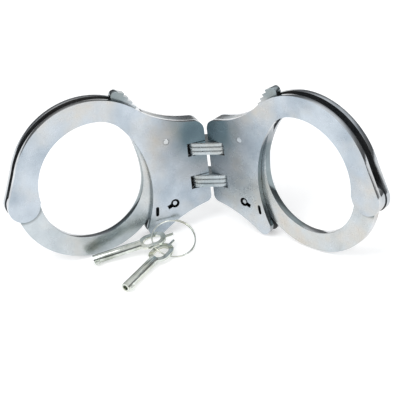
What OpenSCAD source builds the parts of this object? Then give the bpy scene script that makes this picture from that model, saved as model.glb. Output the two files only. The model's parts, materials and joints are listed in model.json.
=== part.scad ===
// Double-lock hinged handcuffs with two keys on a wire ring.
//
// Each cuff is drawn flat in its own frame: u runs out from its hinge pin, v runs up
// along the pin from midway between the two link stacks, and w points to the key side.
// Row frame: +Z up, +X to the right cuff, -Y to the open side of the V. The origin is on
// the table, under the line midway between the two hinge pins.

/* [Stance] */
// Angle between each cuff and the straight, flat position
fold_angle = 29.2; // [24:0.1:34]

/* [Cheek plates] */
// Thickness of one cheek plate
plate_t = 2.3; // [2:0.1:2.8]
// Hinge pin to strand pivot, along the cuff
pivot_u = 81.7; // [70:0.1:98.1]
// Height of the strand pivot above the middle of the hinge
pivot_v = -0.5; // [-1:0.1:1]
// Radius of the round lobe at the strand pivot
lobe_r = 7.3; // [6.8:0.1:8]
// How far the double strand's outer circle passes the strand pivot
arm_out = 3.5; // [3:0.1:4.5]
// Middle of the double strand's outer circle, up from the pivot
arm_up = 6.6; // [6:0.1:7]
// Width of the double strand
arm_w = 8.8; // [8:0.1:9.6]

/* [Case] */
// Distance from the hinge pin to the case's hinge edge
edge_u = 3; // [2.6:0.1:3.6]
// Top of the case at the hinge edge
case_top = 20.6; // [20:0.1:24.8]
// Radius of the hollow neck between case and double strand
neck_r = 46; // [42:1:50]
// Width of the throat where the lock ends, from the pin
throat_u = 23.6; // [23:0.1:24]
// Radius of the case's throat edge
throat_r = 47.3; // [46:0.1:49]
// How far the lower cheek corner hangs below the middle of the hinge
cheek_drop = 29.4; // [28:0.1:35.3]

/* [Hinge] */
// Radius of a hinge pin
pin_r = 1.3; // [1.1:0.05:1.6]
// Thickness of one link plate
link_t = 1.9; // [1.6:0.1:2.3]
// Link plates in each stack
link_count = 3; // [3:1:3]
// Radius of a link's round end
link_r = 4.8; // [4.6:0.1:4.9]
// Middle of the upper and lower link stack above and below the hinge's middle
stack_v = 7.8; // [7.6:0.1:8.5]

/* [Single strand] */
// Thickness of the single strand
strand_t = 3.2; // [2.8:0.1:3.9]
// Distance from the hinge pin to the tips of the ratchet teeth
rack_u = 16.2; // [16:0.1:16.5]
// Height of the ratchet teeth
tooth_h = 1.2; // [0.8:0.1:1.3]
// Number of ratchet teeth
tooth_count = 18; // [12:1:18]
// Length of one ratchet tooth
tooth_pitch = 2.9; // [2.5:0.1:3.2]
// Width of the toothed end
rack_w = 10.3; // [9.6:0.1:10.6]
// How far the bow's outer circle passes the strand pivot
bow_out = 4.1; // [3.8:0.1:4.4]

/* [Lock] */
// Radius of the keyhole
keyhole_r = 2; // [1.8:0.05:2.2]
// Radius of the key post
post_r = 0.95; // [0.8:0.05:1]
// How far the pawl swings from its seat in the teeth to just clear
pawl_lift = 4.6; // [4.4:0.1:5]
// Double-lock bar's travel
bar_travel = 2; // [1.5:0.1:2.2]

/* [Keys] */
// Diameter of a key's tube
shank_d = 4.2; // [3.8:0.1:4.6]
// Length of a key's tube
shank_len = 22; // [18:1:26]
// Thickness of a key's bow
bow_t = 1.2; // [1:0.1:1.3]
// Radius of the ring that the keys hang on
ring_r = 9.6; // [9.2:0.1:10.5]
// Thickness of the ring's wire
ring_wire = 0.7; // [0.6:0.05:0.8]

/* [Hidden] */
$fn = 96;

nickel = [0.78, 0.79, 0.80];
dark_steel = [0.45, 0.46, 0.48];
fit = 0.05;
strand_play = 0.3;
plate_gap = strand_t + strand_play;
cuff_t = 2 * plate_t + plate_gap;
// the hinge edges' corners just pass each other as the cuffs fold
edge_play = 0.16;
half_pitch = norm([edge_u, cuff_t / 2]) + edge_play;
pin_pitch = 2 * half_pitch;
rack_r = pivot_u - rack_u;

// ---- cuff outline -----------------------------------------------------------------
pivot = [pivot_u, pivot_v];
// the double strand's outer circle spans from inside the case to just past the pivot
arm_root_u = 14.6;
arm_r = (pivot_u + arm_out - arm_root_u) / 2;
arm_c = pivot + [arm_out - arm_r, arm_up];
arm_inner_r = arm_r - arm_w;
arm_inner_c = arm_c + [-1.8, -1.4];
// the neck's hollow runs into the double strand's outer circle and the case's top
neck_bite = 0.03;
neck_reach = neck_r + arm_r - neck_bite;
neck_v = case_top + neck_r;
neck_u = arm_c[0] - sqrt(pow(neck_reach, 2) - pow(neck_v - arm_c[1], 2));
neck_dir = (arm_c - [neck_u, neck_v]) / neck_reach;
neck_end = [neck_u, neck_v] + neck_dir * (neck_r + 1);
throat_c = [throat_u - 0.2 + throat_r, -5];
cheek_r = 4;
cheek_c = [throat_u - 0.2, cheek_r - cheek_drop];

// points on an arc, from angle a0 to a1
function arc(c, r, a0, a1, n) =
    [for (i = [0 : n]) let (a = a0 + (a1 - a0) * i / n) c + r * [cos(a), sin(a)]];

// the direction from one point to another, as an angle
function heading(from, to) = atan2(to[1] - from[1], to[0] - from[0]);

// the case without its throat: hinge edge, top, and a slanted, slightly hollow lower edge
module case_block() {
    top_r = 5;
    toe_r = 3;
    toe_c = [toe_r - edge_u, -15.6];
    // the hollow's circle touches the toe's and the cheek's corner circles
    hollow_r = 54;
    span = cheek_c - toe_c;
    along = (pow(hollow_r + toe_r, 2) - pow(hollow_r + cheek_r, 2) + span * span) / (2 * norm(span));
    away = sqrt(pow(hollow_r + toe_r, 2) - pow(along, 2));
    hollow_c = toe_c + (along * span + away * [span[1], -span[0]]) / norm(span);
    top_u = top_r - edge_u;
    // the corner ends on the neck's hollow
    top_v = neck_v - sqrt(pow(neck_r, 2) - pow(top_u - neck_u, 2)) + neck_bite;
    polygon(concat(
        arc([top_u, top_v - top_r], top_r, 180, 90, 12),
        [[top_u, neck_end[1]], neck_end, arm_c + [0, arm_r - 6]],
        [cheek_c + [cheek_r + 6, 14]],
        arc(cheek_c, cheek_r, 0, heading(cheek_c, hollow_c), 16),
        arc(hollow_c, hollow_r, heading(hollow_c, cheek_c), heading(hollow_c, toe_c), 16),
        arc(toe_c, toe_r, heading(toe_c, hollow_c), -180, 8)
    ));
}

// the disc that the double strand is cut from
module arm_disc() {
    intersection() {
        translate(arm_c) circle(r = arm_r);
        translate([0, pivot_v]) square([2 * pivot_u, 2 * pivot_u]);
    }
}

// the round lobe at the pivot, with a straight flank up to the double strand
module lobe() {
    flank = 22;
    in = 0.06;
    translate(pivot) circle(r = lobe_r);
    polygon([
        pivot, pivot + (lobe_r - in) * [cos(flank - 4), sin(flank - 4)],
        arm_c + (arm_r - in) * [cos(flank), sin(flank)], arm_c + (arm_r - 8) * [cos(flank), sin(flank)]
    ]);
}

// the neck's hollow above the case
module neck() {
    translate([neck_u, neck_v]) circle(r = neck_r);
}

// the rounded corner where the throat runs into the double strand's inner edge
module throat_round() {
    round_r = 16;
    across = throat_c - arm_inner_c;
    along = (pow(arm_inner_r - round_r, 2) - pow(throat_r - round_r, 2) + across * across) / (2 * norm(across));
    away = sqrt(pow(arm_inner_r - round_r, 2) - pow(along, 2));
    round_c = arm_inner_c + (along * across + away * [-across[1], across[0]]) / norm(across);
    from = heading(arm_inner_c, round_c);
    to = heading(throat_c, round_c);
    corner_r = round_r / cos((to - from) / 2) + 0.5;
    polygon(concat(
        arc(round_c, round_r + neck_bite, from, to, 16),
        [round_c + corner_r * [cos((from + to) / 2), sin((from + to) / 2)]]
    ));
}

// the wrist opening: inside the double strand, and down along the throat
module wrist_opening() {
    difference() {
        intersection() {
            translate(throat_c) circle(r = throat_r);
            union() {
                translate(arm_inner_c) circle(r = arm_inner_r);
                translate([0, -2 * cheek_drop]) square([pivot_u - lobe_r, 2 * cheek_drop + pivot_v]);
            }
        }
        translate(pivot) circle(r = lobe_r);
        throat_round();
    }
}

// ---- hinge ------------------------------------------------------------------------
link_play = 0.15;
link_step = link_t + 0.06;
stack_h = link_count * link_step;
slot_end = link_r + 0.8;

// the openings that the two link stacks turn in
module link_slots() {
    for (side = [-1, 1])
        translate([-2 * edge_u, side * stack_v - stack_h / 2 - link_play])
            square([2 * edge_u + slot_end, stack_h + 2 * link_play]);
}

module link_plate(stack, index) {
    z = stack * stack_v + (index - (link_count - 1) / 2) * link_step - link_t / 2;
    color(nickel) stance() translate([0, 0, z]) difference() {
        linear_extrude(link_t) {
            for (side = [-1, 1]) translate([side * half_pitch, 0]) circle(r = link_r);
            square([pin_pitch, 2 * link_r], center = true);
        }
        for (side = [-1, 1])
            translate([side * half_pitch, 0, -1]) cylinder(r = pin_r + fit, h = link_t + 2);
    }
}

pin_low = -17.5;
pin_high = 14.5;

module hinge_pin() {
    color(nickel) translate([0, 0, pin_low]) cylinder(r = pin_r, h = pin_high - pin_low);
}

// ---- single strand ----------------------------------------------------------------
rack_root = rack_r - tooth_h;
rack_inner = rack_r - rack_w;
rack_low = 5.96;
tooth_angle = tooth_pitch / rack_r * 180 / PI;
rack_end = 180 + asin(rack_low / rack_r);
tip_angle = rack_end - tooth_count * tooth_angle;
bow_edge_u = 17;
bow_r = (pivot_u + bow_out - bow_edge_u) / 2;
bow_c = pivot + [bow_out - bow_r, 2.9];
// the bow's inner circle spans from the rack's inner edge to just short of the knuckle
knuckle_gap = 7.6;
bow_inner_r = (pivot_u - knuckle_gap - rack_u - rack_w) / 2;
bow_inner_c = [rack_u + rack_w + bow_inner_r, 0.4];
knuckle_r = lobe_r - 0.4;
rivet_r = 3;

function around(r, a) = pivot + r * [cos(a), sin(a)];
// one saw tooth: a long ramp up, then a steep drop
function tooth(i) = [
    around(rack_root, tip_angle + i * tooth_angle),
    around(rack_r, tip_angle + (i + 0.86) * tooth_angle)
];

module rack() {
    tip_in = 5.7;
    tip_r = (tip_in - tooth_h) / 2;
    bow_start = 180 - asin((bow_inner_c[1] - pivot_v) / rack_inner);
    polygon(concat(
        arc(pivot, rack_inner - 2, rack_end, bow_start, 6),
        arc(pivot, rack_inner, bow_start, tip_angle + 10.5, 24),
        arc(around(rack_r - tip_in + tip_r, tip_angle), tip_r, tip_angle + 180, tip_angle + 350, 12),
        [for (i = [0 : tooth_count - 1]) each tooth(i)],
        [around(rack_root, rack_end), around(rack_root - 3, rack_end + 2.5)]
    ));
}

module strand_outline() {
    difference() {
        union() {
            rack();
            intersection() {
                translate(bow_c) circle(r = bow_r);
                translate([0, -2 * bow_r - 5]) square([pivot_u, 2 * bow_r]);
            }
            intersection() {
                translate(bow_c) circle(r = bow_r);
                translate([arm_c[0], -bow_r]) square([2 * bow_r, bow_r + pivot_v]);
            }
            translate(pivot) circle(r = knuckle_r);
        }
        translate(bow_inner_c) circle(r = bow_inner_r);
    }
}

// ---- lock -------------------------------------------------------------------------
key_c = [throat_u - 9.6, -15.7];
slot_c = [throat_u - 1.1, -17.7];
slot_size = [1.5, 4.4];
pawl_pivot = [14.9, 14.3];
pawl_pin_r = 1.4;
pawl_eye_r = 2.4;
pawl_back = 3.6;
pawl_top = 12.95;
pawl_foot = 8.66;
pawl_start = 180 - asin(pawl_top / rack_r);
pawl_end = 180 + asin(pawl_foot / rack_r);
case_rivet_r = 1;
beside_pin = pin_r + case_rivet_r + 0.1;
rivet_spots = [[3, 16.8], [13.6, 20], [beside_pin, -15.4], [16.6, -23.6]];
bar_u = 7.4;
bar_w = 1.5;

module keyhole() {
    flag_w = 1.9;
    flag_l = 3.7;
    translate(key_c) {
        circle(r = keyhole_r);
        rotate(-22) translate([0, -flag_w / 2]) square([flag_l, flag_w]);
    }
}

module double_lock_slot() {
    translate(slot_c) rotate(6) {
        square([slot_size[0], slot_size[1] - slot_size[0]], center = true);
        for (side = [-1, 1])
            translate([0, side * (slot_size[1] - slot_size[0]) / 2]) circle(d = slot_size[0], $fn = 32);
    }
}

// outline turned about the pawl's own pin
module pawl_turn(angle) {
    translate(pawl_pivot) rotate(angle) translate(-pawl_pivot) children();
}

// the pawl seated in the teeth: an arc-shaped bar with three saw teeth, hung from its eye
module pawl_bar() {
    base = rack_r + 0.1;
    first = floor((pawl_end - 2 - tip_angle) / tooth_angle) - 3;
    polygon(concat(
        arc(pivot, base, pawl_start + 1.4, pawl_end, 12),
        arc(pivot, base + pawl_back, pawl_end, pawl_start - 1.2, 12)
    ));
    for (i = [first : first + 2]) {
        a = tip_angle + i * tooth_angle;
        polygon([
            around(base + 0.1, a + 0.1 * tooth_angle), around(rack_root + 0.2, a + 0.16 * tooth_angle),
            around(base + 0.1, a + 0.78 * tooth_angle)
        ]);
    }
}

// the point on the tooth-tip circle at a height above the strand pivot
function on_tips(h) = pivot + [-sqrt(pow(rack_r, 2) - pow(h, 2)), h];

// the pocket that the pawl, its spring and the double-lock bar move in
module lock_pocket() {
    polygon([
        [bar_u - 0.2, -14.4], [bar_u - 0.2, 1.6], [9.6, 4], [10.8, 10.5], [11.6, 13], [12, 16], [14.6, 17.4],
        on_tips(18.05), on_tips(0), on_tips(-14.73), [12, -14.4]
    ]);
    translate(key_c) circle(r = 3.4);
}

module frame_outline() {
    difference() {
        case_block();
        neck();
        wrist_opening();
        translate(pivot) circle(r = rack_r + 0.4);
        lock_pocket();
        link_slots();
        for (spot = rivet_spots) translate(spot) circle(r = case_rivet_r);
    }
}

// ---- solids in the cuff's own frame -----------------------------------------------
// a flat piece t thick, its middle at depth w
module slab(t, w) {
    rotate([90, 0, 0]) translate([0, 0, w - t / 2]) linear_extrude(t) children();
}

// a pin from face to face of the cuff, flush at both ends
module through_pin(spot, r) {
    translate([spot[0], cuff_t / 2, spot[1]]) rotate([90, 0, 0]) cylinder(r = r, h = cuff_t);
}

plate_w = (plate_gap + plate_t) / 2;

// a cheek plate: the key side is 1, the plain side -1
module plate(side) {
    w = side * plate_w;
    color(nickel) difference() {
        union() {
            slab(plate_t, w) case_block();
            slab(plate_t, w) arm_disc();
            slab(plate_t, w) lobe();
        }
        slab(plate_t + 1, w) neck();
        slab(plate_t + 1, w) wrist_opening();
        slab(plate_t + 1, w) link_slots();
        through_pin(pivot, rivet_r);
        through_pin(pawl_pivot, pawl_pin_r);
        for (spot = rivet_spots) through_pin(spot, case_rivet_r);
        if (side > 0) {
            slab(plate_t + 1, w) keyhole();
            slab(plate_t + 1, w) double_lock_slot();
        } else {
            through_pin(key_c, post_r);
        }
    }
}

module lock_frame() {
    color(dark_steel) difference() {
        slab(plate_gap, 0) frame_outline();
        translate([0, 0, -cheek_drop]) cylinder(r = pin_r, h = pin_high + cheek_drop);
    }
}

module strand() {
    color(nickel) difference() {
        slab(strand_t, 0) strand_outline();
        through_pin(pivot, rivet_r + fit);
    }
}

module strand_rivet() {
    color(nickel) through_pin(pivot, rivet_r);
}

module case_rivets() {
    color(nickel) for (spot = rivet_spots) through_pin(spot, case_rivet_r);
}

// the pawl is drawn held off the teeth, as the key holds it
module pawl() {
    color(dark_steel) difference() {
        union() {
            slab(strand_t, 0) pawl_turn(-pawl_lift) pawl_bar();
            slab(strand_t, 0) translate(pawl_pivot) circle(r = pawl_eye_r);
        }
        through_pin(pawl_pivot, pawl_pin_r + fit);
    }
}

module pawl_pin() {
    color(nickel) through_pin(pawl_pivot, pawl_pin_r);
}

module pawl_spring() {
    leaf = 0.5;
    back = [[10.2, 7], [9.8, 4.4], [9.6, 1], [9.45, -4.5]];
    color(dark_steel) slab(strand_t, 0)
        polygon(concat(back, [for (i = [len(back) - 1 : -1 : 0]) back[i] + [leaf, 0]]));
}

module double_lock_bar() {
    low = -14.1;
    nose = 3.4;
    color(dark_steel) slab(strand_t, 0) {
        translate([bar_u, low]) square([bar_w, 9]);
        translate([bar_u, low]) square([nose, 1.3]);
    }
}

module double_lock_spring() {
    spring_r = 0.7;
    low = -4.4 + bar_travel;
    color(dark_steel) translate([bar_u + bar_w / 2, 0, low]) cylinder(r = spring_r, h = 1.3 - low);
}

module key_post() {
    reach = 0.4;
    color(nickel) translate([key_c[0], cuff_t / 2, key_c[1]]) rotate([90, 0, 0])
        cylinder(r = post_r, h = cuff_t - reach);
}

// ---- keys, lying on the table -----------------------------------------------------
key_spread = 45;
keys_turn = 221.5;
ring_lean = 24;
// the keys keep their distance from the cuffs, however far these reach forward
ring_y = 13.86 - pivot_u * sin(fold_angle);
ring_c = [-(half_pitch + ring_r + 0.6), ring_y, ring_r * sin(ring_lean) + ring_wire / 2];
bow_len = 12.6;
bow_w = 9.4;
bow_hole = [8, 5.2];
shank_start = bow_len / 2 - 1.2;
key_reach = shank_start + shank_len;

// a plan shape with round ends, long in x
module stadium(length, width) {
    square([length - width, width], center = true);
    for (side = [-1, 1]) translate([side * (length - width) / 2, 0]) circle(d = width);
}

// where the ring passes through a key, counted from the ring's middle
function on_ring(a) = ring_r * [
    cos(a) * cos(keys_turn) - sin(a) * cos(ring_lean) * sin(keys_turn),
    cos(a) * sin(keys_turn) + sin(a) * cos(ring_lean) * cos(keys_turn),
    -sin(a) * sin(ring_lean)
];

module key() {
    bore_r = 1.25;
    bore_depth = 7;
    pin_len = 3.4;
    flag = [2.2, 3.4, 1.3];
    difference() {
        union() {
            translate([0, 0, -bow_t / 2]) linear_extrude(bow_t) difference() {
                stadium(bow_len, bow_w);
                stadium(bow_hole[0], bow_hole[1]);
            }
            translate([shank_start, 0, 0]) rotate([0, 90, 0]) cylinder(d = shank_d, h = shank_len);
            translate([key_reach - flag[0] - 0.4, 0, -flag[2] / 2]) cube(flag);
            translate([-bow_len / 2 - pin_len, 0, 0]) rotate([0, 90, 0])
                cylinder(r = bow_t / 2, h = pin_len + 1);
        }
        translate([key_reach - bore_depth, 0, 0]) rotate([0, 90, 0]) cylinder(r = bore_r, h = bore_depth + 1);
    }
}

module placed_key(side) {
    at = ring_c + on_ring(side * key_spread / 2);
    dip = asin((at[2] - shank_d / 2) / key_reach);
    color(nickel) translate(at) rotate([0, dip, keys_turn + side * key_spread / 2]) key();
}

module key_ring() {
    color(nickel) translate(ring_c) rotate([0, 0, keys_turn]) rotate([-ring_lean, 0, 0])
        rotate_extrude() translate([ring_r, 0]) circle(d = ring_wire, $fn = 24);
}

// ---- stance -----------------------------------------------------------------------
// lowest height of a disc in the cuff's plane, its back edge at depth w, at a lean
function disc_low(c, r, w, lean) =
    let (g = [sin(fold_angle) * sin(lean), cos(lean)]) g * c - r * norm(g) - w * cos(fold_angle) * sin(lean);
function strand_low(lean) = disc_low(bow_c, bow_r, strand_t / 2, lean);
function cheek_low(lean) = disc_low(cheek_c, cheek_r, cuff_t / 2, lean);
// the lean at which the strands and the cheek corners touch the table together
function find_lean(low, high, n = 30) =
    let (mid = (low + high) / 2)
    n == 0 ? mid : strand_low(mid) < cheek_low(mid) ? find_lean(mid, high, n - 1) : find_lean(low, mid, n - 1);
lean = find_lean(0, 25);

// the flat hinge frame, leaned back to stand on the table
module stance() {
    translate([0, 0, -min(strand_low(lean), cheek_low(lean))]) rotate([-lean, 0, 0]) children();
}

module cuff(side) {
    stance() mirror([side < 0 ? 1 : 0, 0, 0]) translate([half_pitch, 0, 0]) rotate([0, 0, -fold_angle]) children();
}

// ---- nodes ------------------------------------------------------------------------
module left_front_plate() { cuff(-1) plate(1); }
module left_back_plate() { cuff(-1) plate(-1); }
module left_lock_frame() { cuff(-1) lock_frame(); }
module left_strand() { cuff(-1) strand(); }
module left_strand_rivet() { cuff(-1) strand_rivet(); }
module left_case_rivets() { cuff(-1) case_rivets(); }
module left_hinge_pin() { cuff(-1) hinge_pin(); }
module left_pawl() { cuff(-1) pawl(); }
module left_pawl_pin() { cuff(-1) pawl_pin(); }
module left_pawl_spring() { cuff(-1) pawl_spring(); }
module left_double_lock_bar() { cuff(-1) double_lock_bar(); }
module left_double_lock_spring() { cuff(-1) double_lock_spring(); }
module left_key_post() { cuff(-1) key_post(); }
module right_front_plate() { cuff(1) plate(1); }
module right_back_plate() { cuff(1) plate(-1); }
module right_lock_frame() { cuff(1) lock_frame(); }
module right_strand() { cuff(1) strand(); }
module right_strand_rivet() { cuff(1) strand_rivet(); }
module right_case_rivets() { cuff(1) case_rivets(); }
module right_hinge_pin() { cuff(1) hinge_pin(); }
module right_pawl() { cuff(1) pawl(); }
module right_pawl_pin() { cuff(1) pawl_pin(); }
module right_pawl_spring() { cuff(1) pawl_spring(); }
module right_double_lock_bar() { cuff(1) double_lock_bar(); }
module right_double_lock_spring() { cuff(1) double_lock_spring(); }
module right_key_post() { cuff(1) key_post(); }
module upper_link_top() { link_plate(1, 2); }
module upper_link_middle() { link_plate(1, 1); }
module upper_link_bottom() { link_plate(1, 0); }
module lower_link_top() { link_plate(-1, 2); }
module lower_link_middle() { link_plate(-1, 1); }
module lower_link_bottom() { link_plate(-1, 0); }
module key_1() { placed_key(-1); }
module key_2() { placed_key(1); }

left_front_plate();
left_back_plate();
left_lock_frame();
left_strand();
left_strand_rivet();
left_case_rivets();
left_hinge_pin();
left_pawl();
left_pawl_pin();
left_pawl_spring();
left_double_lock_bar();
left_double_lock_spring();
left_key_post();
right_front_plate();
right_back_plate();
right_lock_frame();
right_strand();
right_strand_rivet();
right_case_rivets();
right_hinge_pin();
right_pawl();
right_pawl_pin();
right_pawl_spring();
right_double_lock_bar();
right_double_lock_spring();
right_key_post();
upper_link_top();
upper_link_middle();
upper_link_bottom();
lower_link_top();
lower_link_middle();
lower_link_bottom();
key_1();
key_2();
key_ring();
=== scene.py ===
"""Looks for the double-lock hinged handcuffs and their two keys."""

import json
from math import cos, radians, sin

import bpy
from mathutils import Matrix, Vector

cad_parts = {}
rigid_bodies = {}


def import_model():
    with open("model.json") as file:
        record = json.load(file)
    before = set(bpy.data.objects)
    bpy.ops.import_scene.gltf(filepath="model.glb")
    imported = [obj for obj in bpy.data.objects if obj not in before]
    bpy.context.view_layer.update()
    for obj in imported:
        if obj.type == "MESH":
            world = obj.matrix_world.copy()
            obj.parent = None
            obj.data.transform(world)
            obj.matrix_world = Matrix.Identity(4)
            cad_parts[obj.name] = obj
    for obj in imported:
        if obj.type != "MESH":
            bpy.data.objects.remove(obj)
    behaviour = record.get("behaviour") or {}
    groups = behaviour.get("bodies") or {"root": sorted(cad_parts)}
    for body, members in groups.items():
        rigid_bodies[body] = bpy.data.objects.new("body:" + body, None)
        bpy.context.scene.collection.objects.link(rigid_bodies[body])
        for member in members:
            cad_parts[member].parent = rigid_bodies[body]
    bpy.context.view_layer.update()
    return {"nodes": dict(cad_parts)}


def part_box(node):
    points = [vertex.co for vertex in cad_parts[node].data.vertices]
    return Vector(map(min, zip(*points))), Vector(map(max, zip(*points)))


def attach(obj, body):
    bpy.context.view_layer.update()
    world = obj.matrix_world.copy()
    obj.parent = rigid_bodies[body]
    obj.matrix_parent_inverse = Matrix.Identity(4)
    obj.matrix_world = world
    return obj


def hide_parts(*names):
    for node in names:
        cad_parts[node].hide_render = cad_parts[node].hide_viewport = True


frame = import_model()
nodes = frame["nodes"]
MM = 0.001


# ---- camera, floor and lights -------------------------------------------------------
def set_camera():
    right = Vector((0.97946, 0.15271, -0.13166))
    ahead = Vector((-0.20072, 0.80053, -0.56468))
    up = Vector((0.01916, 0.57951, 0.81474))
    place = Vector((0.25921, -1.06307, 0.75624))
    data = bpy.data.cameras.new("camera")
    data.sensor_width = 36
    data.lens = 268
    data.clip_start = 0.05
    camera = bpy.data.objects.new("camera", data)
    turn = Matrix((right, up, -ahead)).transposed().to_4x4()
    camera.matrix_world = Matrix.Translation(place) @ turn
    bpy.context.scene.collection.objects.link(camera)
    bpy.context.scene.camera = camera


def add_light(name, place, aim, size, watts, tint=(1, 1, 1)):
    data = bpy.data.lights.new(name, "AREA")
    data.shape = "RECTANGLE"
    data.size, data.size_y = size
    data.energy = watts
    data.color = tint
    light = bpy.data.objects.new(name, data)
    light.location = place
    light.rotation_euler = (Vector(aim) - Vector(place)).to_track_quat("-Z", "Y").to_euler()
    bpy.context.scene.collection.objects.link(light)


def clear_selection():
    for thing in bpy.context.view_layer.objects:
        thing.select_set(False)


def make_floor():
    clear_selection()
    bpy.ops.mesh.primitive_plane_add(size=6, location=(0, 0, 0))
    floor = bpy.context.object
    floor.name = "floor"
    mat = bpy.data.materials.new("pale_floor")
    mat.use_nodes = True
    shader = mat.node_tree.nodes["Principled BSDF"]
    shader.inputs["Base Color"].default_value = (0.8, 0.8, 0.8, 1)
    shader.inputs["Roughness"].default_value = 0.9
    shader.inputs["Emission Color"].default_value = (1, 1, 1, 1)
    shader.inputs["Emission Strength"].default_value = 0.42
    floor.data.materials.append(mat)


def set_world():
    """A light tent: bright overhead, dim low down all round."""
    world = bpy.data.worlds.new("light_tent")
    world.use_nodes = True
    tree = world.node_tree
    way = tree.nodes.new("ShaderNodeTexCoord")
    height = tree.nodes.new("ShaderNodeSeparateXYZ")
    ramp = tree.nodes.new("ShaderNodeValToRGB")
    bar = ramp.color_ramp
    for at, shade in ((0.12, 0.16), (0.38, 0.3), (0.6, 1.0)):
        stop = bar.elements.new(at)
        stop.color = (0.96 * shade, 0.98 * shade, shade, 1)
    bar.elements[0].color = (0.12, 0.13, 0.14, 1)
    bar.elements[-1].color = (1, 1, 1, 1)
    tree.links.new(way.outputs["Generated"], height.inputs["Vector"])
    tree.links.new(height.outputs["Z"], ramp.inputs["Fac"])
    back = tree.nodes["Background"]
    tree.links.new(ramp.outputs["Color"], back.inputs["Color"])
    back.inputs["Strength"].default_value = 0.85
    bpy.context.scene.world = world
    bpy.context.scene.view_settings.view_transform = "Standard"


# ---- places on the cuffs ----------------------------------------------------------------
FOLD, LEAN = radians(29.2), radians(9.719)


def cuff_point(side, start, out, rise):
    """A place on a cuff, out along it and up it from a starting point."""
    hand = -1 if side == "left" else 1
    along = Vector((hand * cos(FOLD), -sin(FOLD) * cos(LEAN), sin(FOLD) * sin(LEAN)))
    upward = Vector((0, sin(LEAN), cos(LEAN)))
    return start + along * out * MM + upward * rise * MM


def centre(node):
    low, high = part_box(node)
    return (low + high) / 2


WHITE, BLACK = (1, 1, 1), (0, 0, 0)


# ---- finishes ------------------------------------------------------------------------
class Finish:
    """A metal built from Object coordinates: cloudy colour, fine grain and worn bright edges."""

    def __init__(self, name):
        self.mat = bpy.data.materials.new(name)
        self.mat.use_nodes = True
        self.tree = self.mat.node_tree
        self.shader = self.tree.nodes["Principled BSDF"]
        coords = self.tree.nodes.new("ShaderNodeTexCoord")
        self.place = coords.outputs["Object"]

    def add(self, kind, **settings):
        node = self.tree.nodes.new(kind)
        for key, value in settings.items():
            setattr(node, key, value)
        return node

    def join(self, start, end):
        self.tree.links.new(start, end)

    def noise(self, scale, detail):
        node = self.add("ShaderNodeTexNoise")
        node.inputs["Scale"].default_value = scale
        node.inputs["Detail"].default_value = detail
        self.join(self.place, node.inputs["Vector"])
        return node.outputs["Fac"]

    def ramp(self, source, stops):
        node = self.add("ShaderNodeValToRGB")
        bar = node.color_ramp
        while len(bar.elements) < len(stops):
            bar.elements.new(0.5)
        for element, (at, colour) in zip(bar.elements, stops):
            element.position = at
            element.color = (*colour, 1)
        self.join(source, node.inputs["Fac"])
        return node.outputs["Color"]

    def mix(self, share, first, second, how="MIX"):
        node = self.add("ShaderNodeMix", data_type="RGBA", blend_type=how)
        if isinstance(share, float):
            node.inputs[0].default_value = share
        else:
            self.join(share, node.inputs[0])
        self.join(first, node.inputs[6])
        self.join(second, node.inputs[7])
        return node.outputs[2]

    def spread(self, source, end, low, high):
        """Spreads 0 to 1 over low to high if end is "To", or the other way round if it is "From"."""
        node = self.add("ShaderNodeMapRange")
        node.inputs[f"{end} Min"].default_value = low
        node.inputs[f"{end} Max"].default_value = high
        self.join(source, node.inputs["Value"])
        return node.outputs["Result"]

    def math(self, how, first, second=None):
        node = self.add("ShaderNodeMath", operation=how)
        for socket, value in zip(node.inputs, (first, second)):
            if isinstance(value, (int, float)):
                socket.default_value = value
            elif value is not None:
                self.join(value, socket)
        return node.outputs[0]

    def distance(self, point):
        """How far a place is from a point, the same on the left and the right cuff."""
        parts = self.add("ShaderNodeSeparateXYZ")
        self.join(self.place, parts.inputs["Vector"])
        both = self.add("ShaderNodeCombineXYZ")
        self.join(self.math("ABSOLUTE", parts.outputs["X"]), both.inputs["X"])
        self.join(parts.outputs["Y"], both.inputs["Y"])
        self.join(parts.outputs["Z"], both.inputs["Z"])
        gap = self.add("ShaderNodeVectorMath", operation="DISTANCE")
        self.join(both.outputs["Vector"], gap.inputs[0])
        gap.inputs[1].default_value = point
        return gap.outputs["Value"]

    def paint_shade(self, tone, point, reach, amount, ragged):
        """Painted shade round a point: darker colour fading out between the two distances in reach."""
        loose = self.math("MULTIPLY", self.noise(90, 4), ragged)
        away = self.math("ADD", self.distance(point), loose)
        dark = tuple(1 - amount * share for share in (1, 0.9, 0.88))
        half = (1 - 0.5 * amount,) * 3
        shade_mark = self.ramp(self.spread(away, "From", *reach), [(0, dark), (0.45, half), (1, WHITE)])
        return self.mix(1.0, tone, shade_mark, "MULTIPLY")

    def bump(self, height, strength, distance):
        node = self.add("ShaderNodeBump")
        node.inputs["Strength"].default_value = strength
        node.inputs["Distance"].default_value = distance
        self.join(height, node.inputs["Height"])
        self.join(node.outputs["Normal"], self.shader.inputs["Normal"])


def metal(name, dark, light, warm, rough, cloud=60, grain=2200, bump=0.08, painted_shades=()):
    """Plated or bare metal: soft clouds, faint warm patches, a fine grain, and painted shade round its
    joints.
    """
    m = Finish(name)
    body = m.ramp(m.noise(cloud, 6), [(0.35, dark), (0.65, light)])
    warmth = m.ramp(m.noise(cloud * 0.6, 3), [(0.42, BLACK), (0.62, WHITE)])
    patch = m.ramp(m.noise(cloud * 1.7, 3), [(0.3, warm), (0.7, light)])
    tone = m.mix(warmth, body, patch)
    specks = m.noise(grain, 3)
    worn = m.ramp(specks, [(0.3, (0.9, 0.9, 0.9)), (0.6, WHITE)])
    tone = m.mix(1.0, tone, worn, "MULTIPLY")
    # each painted shade darkens the colour round its point
    for shade_mark in painted_shades:
        tone = m.paint_shade(tone, *shade_mark)
    m.join(tone, m.shader.inputs["Base Color"])
    m.join(m.spread(m.noise(cloud * 2.3, 5), "To", *rough), m.shader.inputs["Roughness"])
    m.bump(specks, bump, 0.00005)
    m.shader.inputs["Metallic"].default_value = 1
    return m.mat


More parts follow.
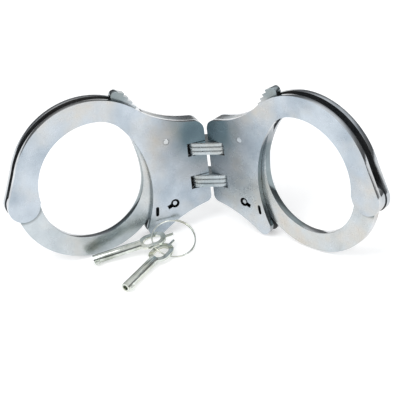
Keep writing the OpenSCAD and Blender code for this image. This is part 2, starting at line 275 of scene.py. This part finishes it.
throat = cuff_point("right", centre("right_key_post"), 18, 10)
strand_tip = max((spot.co for spot in nodes["right_strand"].data.vertices), key=lambda at: at.z).copy()
# each painted shade: its middle, the two distances it fades between, how dark, how ragged
# painted shade: the cases darker near the hinge, where the two cuffs face each other
hinge_painted_shade = ((0, -2 * MM, 44 * MM), (14 * MM, 34 * MM), 0.74, 10 * MM)
# painted shadow: the strand darker round its pivot, under the edge of the plate's lobe
pivot_painted_shadow = (centre("right_strand_rivet"), (8.7 * MM, 10.3 * MM), 0.72, 0.7 * MM)
# painted shade: the rims darker in the throat, where the plates' edges face the dark gap
throat_painted_shade = (throat, (21 * MM, 27 * MM), 0.6, 3 * MM)
# painted shade: the strand's tip and its rims darker
tip_painted_shade = (strand_tip, (7 * MM, 13 * MM), 0.5, 3 * MM)
# the plates carry painted shade near the hinge
plate_nickel = metal(
    "satin_nickel_plate", (0.36, 0.42, 0.48), (0.56, 0.62, 0.68), (0.60, 0.58, 0.54), (0.16, 0.38),
    painted_shades=[hinge_painted_shade])
# the rims carry painted shade in the throat and at the strand's tip
rim_nickel = metal(
    "polished_nickel_rim", (0.36, 0.39, 0.42), (0.74, 0.77, 0.80), (0.6, 0.58, 0.55), (0.08, 0.22),
    painted_shades=[throat_painted_shade, tip_painted_shade])
# painted shade: the plates' inner faces near black, for the shade in the gap between the plates
painted_shade_inner_nickel = metal(
    "painted_shade_between_plates", (0.08, 0.09, 0.10), (0.16, 0.17, 0.18), (0.15, 0.13, 0.11), (0.4, 0.6))
# the strand carries painted shadow round the pivot and painted shade at its tip
strand_nickel = metal(
    "satin_nickel_strand", (0.42, 0.47, 0.50), (0.60, 0.65, 0.68), (0.62, 0.59, 0.54), (0.16, 0.36),
    painted_shades=[pivot_painted_shadow, tip_painted_shade])
link_nickel = metal(
    "worn_nickel_link", (0.34, 0.40, 0.43), (0.54, 0.60, 0.63), (0.46, 0.46, 0.43), (0.2, 0.36),
    cloud=140, bump=0.03)
frame_nickel = metal(
    "filler_nickel", (0.24, 0.27, 0.29), (0.44, 0.48, 0.51), (0.36, 0.35, 0.32), (0.2, 0.4), cloud=120)
pin_nickel = metal(
    "flush_nickel_pin", (0.44, 0.50, 0.55), (0.60, 0.65, 0.70), (0.58, 0.57, 0.54), (0.2, 0.36))
lock_steel = metal(
    "oiled_lock_steel", (0.07, 0.07, 0.08), (0.15, 0.15, 0.16), (0.15, 0.13, 0.11), (0.35, 0.55))
key_nickel = metal(
    "bright_key_nickel", (0.40, 0.43, 0.38), (0.80, 0.84, 0.80), (0.70, 0.69, 0.58), (0.05, 0.16),
    cloud=150)


# ---- pieces taken on from the CAD ------------------------------------------------------
CORNER_ANGLE = radians(30)   # a sharper turn than this is a corner, and gets rounded
BROAD_SIDE = 0.97            # how nearly a face has to face along the thickness to be a broad side
FLAT = 0.999
INNER_DEPTH = 3 * MM         # a plate's inner face lies closer than this to the cuff's middle plane
# case rivets and double-lock slot, out and up from the key post
RIVET_SPOTS = ((-11, 32.5), (-0.4, 35.7), (-11.6, 0.3), (2.6, -7.9))
SLOT_SPOT = (8.5, -2)
TOOTH_BAND = (64, 66)        # how far from the pivot the strand's teeth are


def flat_normal(piece):
    """The direction of the largest flat face, which is the piece's broad side."""
    return max(piece.data.polygons, key=lambda face: face.area).normal.copy()


def gap_in_plane(at, point, broad):
    away = at - point
    return (away - broad * away.dot(broad)).length / MM


def weigh_edges(piece, broad, sharp_spots, rim_only):
    """Marks the corners to round: only the broad sides' rims if rim_only, none at the sharp spots."""
    data = piece.data
    sides = {}
    for face in data.polygons:
        for key in face.edge_keys:
            sides.setdefault(key, []).append(face.normal)
    weights = data.attributes.new("bevel_weight_edge", "FLOAT", "EDGE")
    for edge in data.edges:
        faces = sides.get(edge.key, [])
        if len(faces) != 2 or faces[0].angle(faces[1], 0) < CORNER_ANGLE:
            continue
        first, second = (data.vertices[i].co for i in edge.vertices)
        if rim_only and abs((second - first).normalized().dot(broad)) > 0.3:
            continue
        middle = (first + second) / 2
        gaps = [(gap_in_plane(middle, spot, broad), low, high) for spot, low, high in sharp_spots]
        if not any(low <= gap <= high for gap, low, high in gaps):
            weights.data[edge.index].value = 1


def rounded_copy(node, width, segments, body, mat, sharp_spots=(), rim_only=False):
    """A CAD node's shape with its sharp edges rounded off, in place of the plain node."""
    clear_selection()
    piece = nodes[node].copy()
    piece.data = nodes[node].data.copy()
    piece.name = "finished_" + node
    piece.parent = None
    for key in list(piece.keys()):
        del piece[key]
    bpy.context.scene.collection.objects.link(piece)
    piece.select_set(True)
    bpy.context.view_layer.objects.active = piece
    bpy.ops.object.mode_set(mode="EDIT")
    bpy.ops.mesh.select_all(action="SELECT")
    bpy.ops.mesh.remove_doubles(threshold=0.002 * MM)
    bpy.ops.mesh.dissolve_limited(angle_limit=radians(0.5))
    bpy.ops.object.mode_set(mode="OBJECT")
    bpy.ops.mesh.customdata_custom_splitnormals_clear()
    broad = flat_normal(piece)
    weigh_edges(piece, broad, sharp_spots, rim_only)
    bevel = piece.modifiers.new("round_edges", "BEVEL")
    bevel.width = width
    bevel.segments = segments
    bevel.limit_method = "WEIGHT"
    bevel.miter_outer = "MITER_ARC"
    bevel.use_clamp_overlap = True
    bpy.ops.object.modifier_apply(modifier="round_edges")
    bpy.ops.object.shade_smooth_by_angle(angle=radians(38))
    for face in piece.data.polygons:
        if abs(face.normal.dot(broad)) > FLAT:
            face.use_smooth = False
    piece.data.materials.clear()
    piece.data.materials.append(mat)
    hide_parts(node)
    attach(piece, body)
    return piece


def give_faces(piece, mat, chosen):
    """A second finish on the faces that chosen(centre, normal) picks."""
    piece.data.materials.append(mat)
    for face in piece.data.polygons:
        if chosen(face.center, face.normal):
            face.material_index = len(piece.data.materials) - 1


def finish_node(node, mat):
    data = nodes[node].data
    for i in range(len(data.materials)):
        data.materials[i] = mat
    if not data.materials:
        data.materials.append(mat)


def wire_end():
    """The end of the split ring's wire, lying on its neighbour for a sixth of a turn."""
    low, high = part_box("key_ring")
    hub = (low + high) / 2
    turn, lean = radians(221.5), radians(24)
    out = Vector((cos(turn), sin(turn), 0))
    axis = Vector((-sin(turn) * sin(lean), cos(turn) * sin(lean), cos(lean)))
    beside = axis.cross(out)
    start, sweep = radians(-128), radians(62)
    wire_r, ring_r = 0.33 * MM, 9.6 * MM
    spot = out * cos(start) + beside * sin(start)
    ahead = axis.cross(spot)
    clear_selection()
    bpy.ops.mesh.primitive_circle_add(
        vertices=16, radius=wire_r, fill_type="NGON", location=hub + spot * ring_r + axis * 0.66 * MM,
        rotation=ahead.to_track_quat("Z", "Y").to_euler())
    wire = bpy.context.object
    wire.name = "ring_wire_end"
    bpy.ops.object.transform_apply(location=True, rotation=True, scale=True)
    bpy.ops.object.mode_set(mode="EDIT")
    bpy.ops.mesh.select_all(action="SELECT")
    bpy.ops.mesh.spin(steps=28, angle=sweep, center=hub, axis=axis)
    bpy.ops.mesh.select_all(action="SELECT")
    bpy.ops.mesh.normals_make_consistent(inside=False)
    bpy.ops.object.mode_set(mode="OBJECT")
    bevel = wire.modifiers.new("round_ends", "BEVEL")
    bevel.width = 0.12 * MM
    bevel.segments = 2
    bevel.limit_method = "ANGLE"
    bevel.angle_limit = radians(60)
    bpy.ops.object.modifier_apply(modifier="round_ends")
    bpy.ops.object.shade_smooth_by_angle(angle=radians(40))
    wire.data.materials.append(key_nickel)
    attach(wire, "keys")


def make_plate(side, face, post, pivot):
    holes = [(post, 0, 4.4), (cuff_point(side, post, *SLOT_SPOT), 0, 2.3), (pivot, 0, 3.2)]
    holes.append((centre(f"{side}_pawl_pin"), 0, 1.6))
    holes += [(cuff_point(side, post, *spot), 0, 1.3) for spot in RIVET_SPOTS]
    plate = rounded_copy(
        f"{side}_{face}_plate", 0.65 * MM, 3, f"{side}_case", plate_nickel,
        sharp_spots=holes, rim_only=True)
    broad = flat_normal(plate)
    inward = broad if (broad.y > 0) == (face == "front") else -broad
    give_faces(plate, rim_nickel, lambda at, normal: abs(normal.dot(broad)) < BROAD_SIDE)
    # painted shade on the plates' inner faces, in the gap between the plates
    give_faces(
        plate, painted_shade_inner_nickel, lambda at, normal:
        normal.dot(inward) > BROAD_SIDE and abs((at - pivot).dot(broad)) < INNER_DEPTH)


def make_strand(side, pivot):
    strand = rounded_copy(
        f"{side}_strand", 0.6 * MM, 3, f"{side}_strand", strand_nickel,
        sharp_spots=[(pivot, 0, 3.2), (pivot, *TOOTH_BAND)], rim_only=True)
    broad = flat_normal(strand)
    give_faces(strand, rim_nickel, lambda at, normal: abs(normal.dot(broad)) < BROAD_SIDE)


def make_pieces():
    plain = {
        "strand_rivet": plate_nickel, "case_rivets": plate_nickel, "hinge_pin": pin_nickel,
        "key_post": pin_nickel, "lock_frame": frame_nickel, "pawl": lock_steel,
        "pawl_spring": lock_steel, "double_lock_bar": lock_steel, "double_lock_spring": lock_steel}
    for side in ("left", "right"):
        post, pivot = centre(f"{side}_key_post"), centre(f"{side}_strand_rivet")
        for face in ("front", "back"):
            make_plate(side, face, post, pivot)
        make_strand(side, pivot)
        rounded_copy(f"{side}_pawl_pin", 0.35 * MM, 3, f"{side}_case", pin_nickel)
        for part, mat in plain.items():
            finish_node(f"{side}_{part}", mat)
    for stack in ("upper", "lower"):
        for place in ("top", "middle", "bottom"):
            rounded_copy(
                f"{stack}_link_{place}", 0.14 * MM, 2, "hinge_links", link_nickel)
    for key in ("key_1", "key_2"):
        rounded_copy(key, 0.3 * MM, 3, "keys", key_nickel)
    finish_node("key_ring", key_nickel)
    wire_end()


set_camera()
set_world()
make_floor()
add_light("key_light", (-0.5, -0.5, 1.1), (0, 0, 0.03), (0.7, 0.7), 5)
add_light("fill_light", (0.9, -0.6, 0.7), (0, 0, 0.03), (0.6, 0.6), 2.5)
make_pieces()
